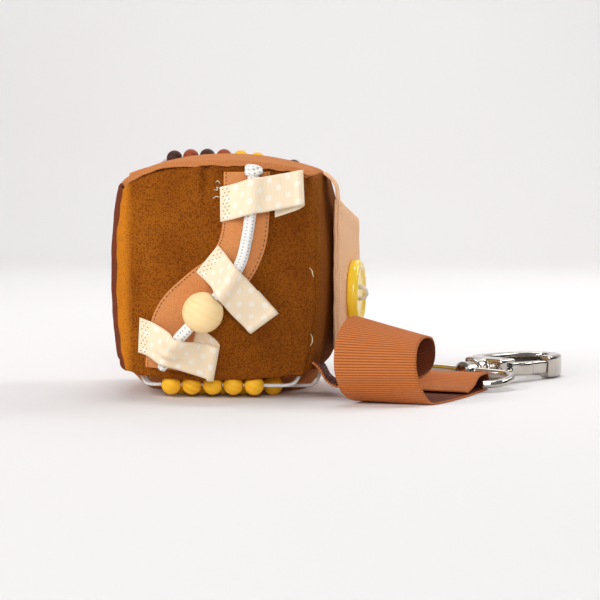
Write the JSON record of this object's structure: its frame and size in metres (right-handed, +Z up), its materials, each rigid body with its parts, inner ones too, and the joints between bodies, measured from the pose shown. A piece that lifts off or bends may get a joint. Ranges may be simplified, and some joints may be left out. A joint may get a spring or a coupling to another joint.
{
  "type": "soft activity cube",
  "caption": "Stuffed fabric cube with a bead-and-cord road under ribbon tunnels, bead strands, a hanging button flap and a strap with a swivel snap hook.",
  "frame": {"origin": "middle of the flat patch on which the cube's bottom panel rests, under the cube's centre", "axes": "+Z up, -Y out of the face with the bead road, +X towards the flap, the strap and the snap hook"},
  "size_m": [0.1769, 0.1268, 0.0952],
  "materials": {
    "velvet": "matte",
    "tan_suede": "matte",
    "maroon_suede": "matte",
    "polyester_fill": "matte",
    "cream_ribbon": "matte",
    "white_cord": "matte",
    "pale_wood": "satin",
    "yellow_wood": "satin",
    "rust_wood": "satin",
    "dark_wood": "satin",
    "beige_linen": "matte",
    "yellow_button": "gloss",
    "strap_grosgrain": "matte",
    "nickel_plate": "polished",
    "spring_steel": "satin"
  },
  "bodies": {
    "cube": {"stuffing": "polyester_fill", "front_panel": "velvet", "back_panel": "velvet", "left_panel": "maroon_suede", "right_panel": "velvet", "top_panel": "tan_suede", "bottom_panel": "tan_suede", "road_applique": "tan_suede", "ribbon_loop_top": "cream_ribbon", "ribbon_loop_middle": "cream_ribbon", "ribbon_loop_bottom": "cream_ribbon", "road_cord": "white_cord", "front_bead_string": "white_cord", "rear_bead_string": "white_cord", "top_bead_string": "white_cord", "strap": "strap_grosgrain"},
    "flap": {"flap": "beige_linen", "flap_tab": "beige_linen", "button": "yellow_button", "button_thread": "white_cord"},
    "ring": {"hook_ring": "nickel_plate", "swivel_pin": "nickel_plate"},
    "hook": {"hook_body": "nickel_plate", "gate_pin": "nickel_plate", "gate_spring": "spring_steel"},
    "gate": {"gate": "nickel_plate"},
    "road_bead": {"road_bead": "pale_wood"},
    "front_bead_1": {"front_bead_1": "yellow_wood"},
    "front_bead_2": {"front_bead_2": "yellow_wood"},
    "front_bead_3": {"front_bead_3": "yellow_wood"},
    "front_bead_4": {"front_bead_4": "yellow_wood"},
    "front_bead_5": {"front_bead_5": "yellow_wood"},
    "rear_bead_1": {"rear_bead_1": "yellow_wood"},
    "rear_bead_2": {"rear_bead_2": "yellow_wood"},
    "rear_bead_3": {"rear_bead_3": "yellow_wood"},
    "rear_bead_4": {"rear_bead_4": "yellow_wood"},
    "rear_bead_5": {"rear_bead_5": "yellow_wood"},
    "top_bead_1": {"top_bead_1": "dark_wood"},
    "top_bead_2": {"top_bead_2": "rust_wood"},
    "top_bead_3": {"top_bead_3": "dark_wood"},
    "top_bead_4": {"top_bead_4": "rust_wood"},
    "top_bead_5": {"top_bead_5": "yellow_wood"},
    "top_bead_6": {"top_bead_6": "yellow_wood"},
    "top_bead_7": {"top_bead_7": "dark_wood"}
  },
  "joints": [
    {"name": "flap_lift", "type": "hinge", "parent": "cube", "child": "flap", "pos_m": [0.03922, -0.0135, 0.08481], "axis": [0, -1, 0], "range_deg": [0, 100]},
    {"name": "ring_turn", "type": "hinge", "parent": "cube", "child": "ring", "pos_m": [0.08524, 0.00275, 0.0034], "axis": [0.8925, -0.4498, -0.0346], "range_deg": [0, 100]},
    {"name": "hook_swivel", "type": "hinge", "parent": "ring", "child": "hook", "pos_m": [0.09416, 0.02025, 0.0059], "axis": [0.5877, 0.8089, -0.02], "continuous": true},
    {"name": "gate_open", "type": "hinge", "parent": "hook", "child": "gate", "pos_m": [0.10908, 0.0282, 0.0056], "axis": [0.0118, 0.0162, 0.9998], "range_deg": [0, 25], "stiffness_Nm_per_rad": 0.02, "springref_deg": -20.05},
    {"name": "road_bead_slide", "type": "slide", "parent": "cube", "child": "road_bead", "axis": [-0.6782, 0, -0.7349], "range_m": [-0.0003, 0.0035]},
    {"name": "front_bead_1_slide", "type": "slide", "parent": "cube", "child": "front_bead_1", "axis": [1, 0, 0], "range_m": [-0.004, 0.009]},
    {"name": "front_bead_2_slide", "type": "slide", "parent": "cube", "child": "front_bead_2", "axis": [1, 0, 0], "range_m": [-0.004, 0.009]},
    {"name": "front_bead_3_slide", "type": "slide", "parent": "cube", "child": "front_bead_3", "axis": [1, 0, 0], "range_m": [-0.004, 0.009]},
    {"name": "front_bead_4_slide", "type": "slide", "parent": "cube", "child": "front_bead_4", "axis": [1, 0, 0], "range_m": [-0.004, 0.009]},
    {"name": "front_bead_5_slide", "type": "slide", "parent": "cube", "child": "front_bead_5", "axis": [1, 0, 0], "range_m": [-0.004, 0.009]},
    {"name": "rear_bead_1_slide", "type": "slide", "parent": "cube", "child": "rear_bead_1", "axis": [1, 0, 0], "range_m": [-0.006, 0.0019]},
    {"name": "rear_bead_2_slide", "type": "slide", "parent": "cube", "child": "rear_bead_2", "axis": [1, 0, 0], "range_m": [-0.006, 0.0019]},
    {"name": "rear_bead_3_slide", "type": "slide", "parent": "cube", "child": "rear_bead_3", "axis": [1, 0, 0], "range_m": [-0.006, 0.0019]},
    {"name": "rear_bead_4_slide", "type": "slide", "parent": "cube", "child": "rear_bead_4", "axis": [1, 0, 0], "range_m": [-0.006, 0.0019]},
    {"name": "rear_bead_5_slide", "type": "slide", "parent": "cube", "child": "rear_bead_5", "axis": [1, 0, 0], "range_m": [-0.0019, 0.0032]},
    {"name": "top_bead_1_slide", "type": "slide", "parent": "cube", "child": "top_bead_1", "axis": [0.9939, -0.0535, 0.0966], "range_m": [-0.0004, 0.004]},
    {"name": "top_bead_2_slide", "type": "slide", "parent": "cube", "child": "top_bead_2", "axis": [0.9985, -0.0268, 0.0483], "range_m": [-0.0004, 0.004]},
    {"name": "top_bead_3_slide", "type": "slide", "parent": "cube", "child": "top_bead_3", "axis": [1, 0, 0], "range_m": [-0.0004, 0.004]},
    {"name": "top_bead_4_slide", "type": "slide", "parent": "cube", "child": "top_bead_4", "axis": [0.9985, 0.0268, -0.0483], "range_m": [-0.0004, 0.004]},
    {"name": "top_bead_5_slide", "type": "slide", "parent": "cube", "child": "top_bead_5", "axis": [0.9939, 0.0535, -0.0966], "range_m": [-0.0004, 0.004]},
    {"name": "top_bead_6_slide", "type": "slide", "parent": "cube", "child": "top_bead_6", "axis": [0.9862, 0.0803, -0.1448], "range_m": [-0.0004, 0.004]},
    {"name": "top_bead_7_slide", "type": "slide", "parent": "cube", "child": "top_bead_7", "axis": [0.9588, 0.1377, -0.2484], "range_m": [-0.0038, 0.0028]}
  ],
  "couplings": [
    {"joint": "front_bead_1_slide", "follows": "front_bead_3_slide", "ratio": 1},
    {"joint": "front_bead_2_slide", "follows": "front_bead_3_slide", "ratio": 1},
    {"joint": "front_bead_4_slide", "follows": "front_bead_3_slide", "ratio": 1},
    {"joint": "front_bead_5_slide", "follows": "front_bead_3_slide", "ratio": 1},
    {"joint": "rear_bead_1_slide", "follows": "rear_bead_2_slide", "ratio": 1},
    {"joint": "rear_bead_3_slide", "follows": "rear_bead_2_slide", "ratio": 1},
    {"joint": "rear_bead_4_slide", "follows": "rear_bead_2_slide", "ratio": 1},
    {"joint": "top_bead_1_slide", "follows": "top_bead_3_slide", "ratio": 1},
    {"joint": "top_bead_2_slide", "follows": "top_bead_3_slide", "ratio": 1},
    {"joint": "top_bead_4_slide", "follows": "top_bead_3_slide", "ratio": 1},
    {"joint": "top_bead_5_slide", "follows": "top_bead_3_slide", "ratio": 1},
    {"joint": "top_bead_6_slide", "follows": "top_bead_3_slide", "ratio": 1}
  ]
}
